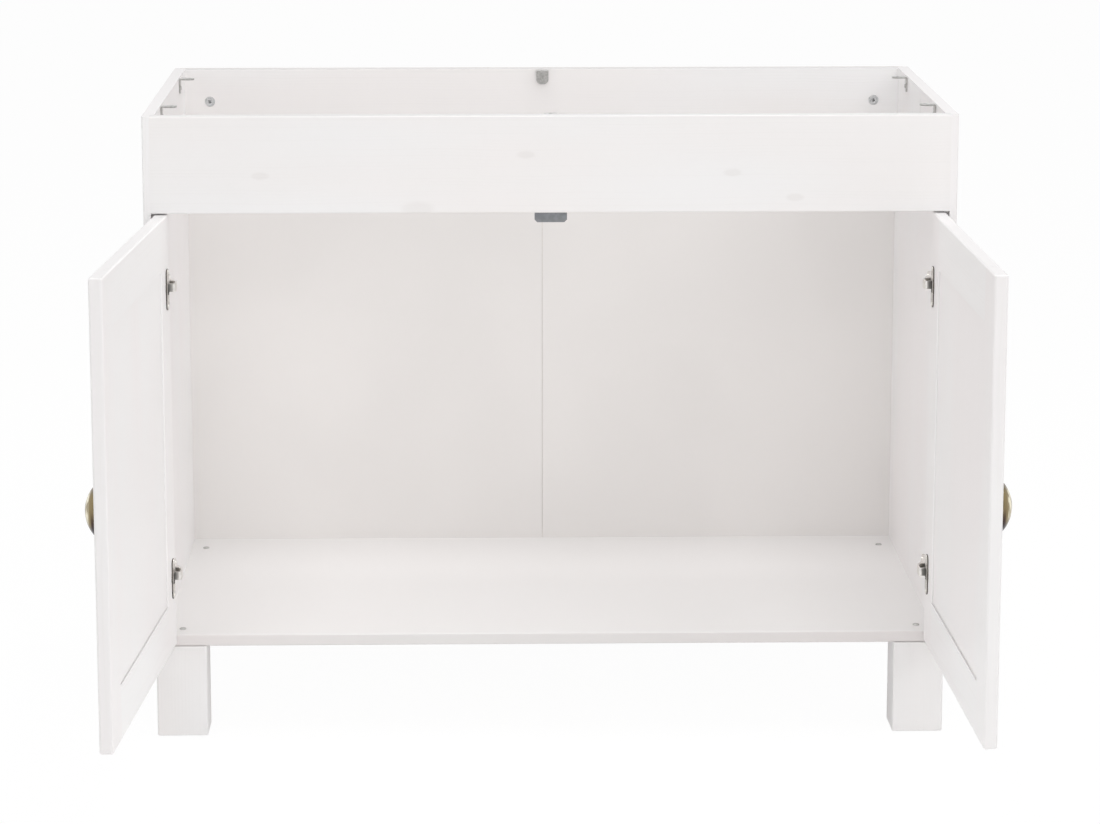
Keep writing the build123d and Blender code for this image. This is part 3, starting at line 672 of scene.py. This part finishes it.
studio = {
    "white": "#ffffff",
    "floorColour": "#f6f5f4",
    "floorSize": 20.0,            # from its middle to its edges
    "floorGlow": 0.955,           # share of the floor that the camera sees as plain white
    "glowLevel": 1.012,           # that white, a touch over so that the rest comes up to it
    "skyLevel": 0.36,             # what the surroundings give to matt surfaces
    "roomLevel": 0.12,            # how bright the room in front of the cabinet looks in metal
    "roomFade": (-0.8, 0.0),      # from that room to the white beside it, by the ray's share along Y
    "lampAim": (0.0, -0.2, 0.45),
    "cameraPlace": (-0.114, -5.313, 1.478),
    "cameraLine": (0.02244, 1.0, -0.2024),    # the direction in which it looks
    "lens": 122.6,
    "sensorWidth": 36.0,
}
softboxes = {
    "overhead": {"place": (0.0, -0.4, 3.8), "size": 3.0, "power": 75.0},
    "frontWide": {"place": (0.4, -6.4, 1.9), "size": 4.0, "power": 59.0},
    "rightHigh": {"place": (2.8, -2.4, 3.4), "size": 1.8, "power": 34.0},
    "rightBox": {"place": (3.2, -3.2, 1.8), "size": 2.2, "power": 14.0},
    "leftBox": {"place": (-3.2, -3.2, 1.8), "size": 2.2, "power": 24.0},
}


# Two values: whether a ray comes from the camera, if need be through glass, and whether it is a
# reflection.
def rayKinds(tree):
    path = addNode(tree, "ShaderNodeLightPath").outputs
    direct = addNode(tree, "ShaderNodeMath", [path["Is Camera Ray"], path["Is Transmission Ray"]],
                     operation="MAXIMUM")
    return direct.outputs[0], path["Is Glossy Ray"]


# White to the camera and a plain soft level to matt surfaces. Metal reflects white too, but for the
# dark room in front of the cabinet, which draws the dark sides on the fittings.
def makeWorld():
    world = bpy.data.worlds.new("whiteStudio")
    bpy.context.scene.world = world
    world.use_nodes = True
    tree = world.node_tree
    tree.nodes.clear()
    white = linearColour(studio["white"])
    direct, glossy = rayKinds(tree)
    spot = addNode(tree, "ShaderNodeTexCoord")
    ahead = addNode(tree, "ShaderNodeSeparateXYZ", [spot.outputs["Object"]]).outputs["Y"]
    roomLevel = addNode(tree, "ShaderNodeMapRange", [
        ahead, *studio["roomFade"], studio["roomLevel"], 1.0,
    ], interpolation_type="SMOOTHSTEP").outputs[0]
    soft, room, backdrop = [
        addNode(tree, "ShaderNodeBackground", {"Color": white, "Strength": level}).outputs[0]
        for level in (studio["skyLevel"], roomLevel, 1.0)
    ]
    around = addNode(tree, "ShaderNodeMixShader", [glossy, soft, room]).outputs[0]
    shown = addNode(tree, "ShaderNodeMixShader", [direct, around, backdrop]).outputs[0]
    addNode(tree, "ShaderNodeOutputWorld", [shown])


def makeFloor():
    bm = bmesh.new()
    bmesh.ops.create_grid(bm, x_segments=1, y_segments=1, size=studio["floorSize"])
    mesh = bpy.data.meshes.new("studioFloor")
    bm.to_mesh(mesh)
    bm.free()
    floor = bpy.data.objects.new("studioFloor", mesh)
    bpy.context.collection.objects.link(floor)
    material, tree = startMaterial("paleFloor")
    paint = addNode(tree, "ShaderNodeBsdfDiffuse", {"Color": linearColour(studio["floorColour"])})
    glow = addNode(tree, "ShaderNodeEmission", {
        "Color": linearColour(studio["white"]), "Strength": studio["glowLevel"],
    })
    seen = addNode(tree, "ShaderNodeMath", rayKinds(tree), operation="MAXIMUM").outputs[0]
    share = addNode(tree, "ShaderNodeMath", [seen, studio["floorGlow"]], operation="MULTIPLY").outputs[0]
    shader = addNode(tree, "ShaderNodeMixShader", [share, paint.outputs[0], glow.outputs[0]])
    addNode(tree, "ShaderNodeOutputMaterial", [shader.outputs[0]])
    mesh.materials.append(material)


def makeLights():
    for name, box in softboxes.items():
        data = bpy.data.lights.new(name, "AREA")
        data.shape = "SQUARE"
        data.size = box["size"]
        data.energy = box["power"]
        lamp = bpy.data.objects.new(name, data)
        lamp.location = box["place"]
        line = Vector(studio["lampAim"]) - lamp.location
        lamp.rotation_euler = line.to_track_quat("-Z", "Y").to_euler()
        bpy.context.collection.objects.link(lamp)


def makeCamera():
    data = bpy.data.cameras.new("frontCamera")
    data.lens = studio["lens"]
    data.sensor_width = studio["sensorWidth"]
    camera = bpy.data.objects.new("frontCamera", data)
    camera.location = studio["cameraPlace"]
    camera.rotation_euler = Vector(studio["cameraLine"]).to_track_quat("-Z", "Y").to_euler()
    bpy.context.collection.objects.link(camera)
    bpy.context.scene.camera = camera


makeWorld()
makeFloor()
makeLights()
makeCamera()
bpy.context.scene.view_settings.view_transform = "Standard"
print("studio set")
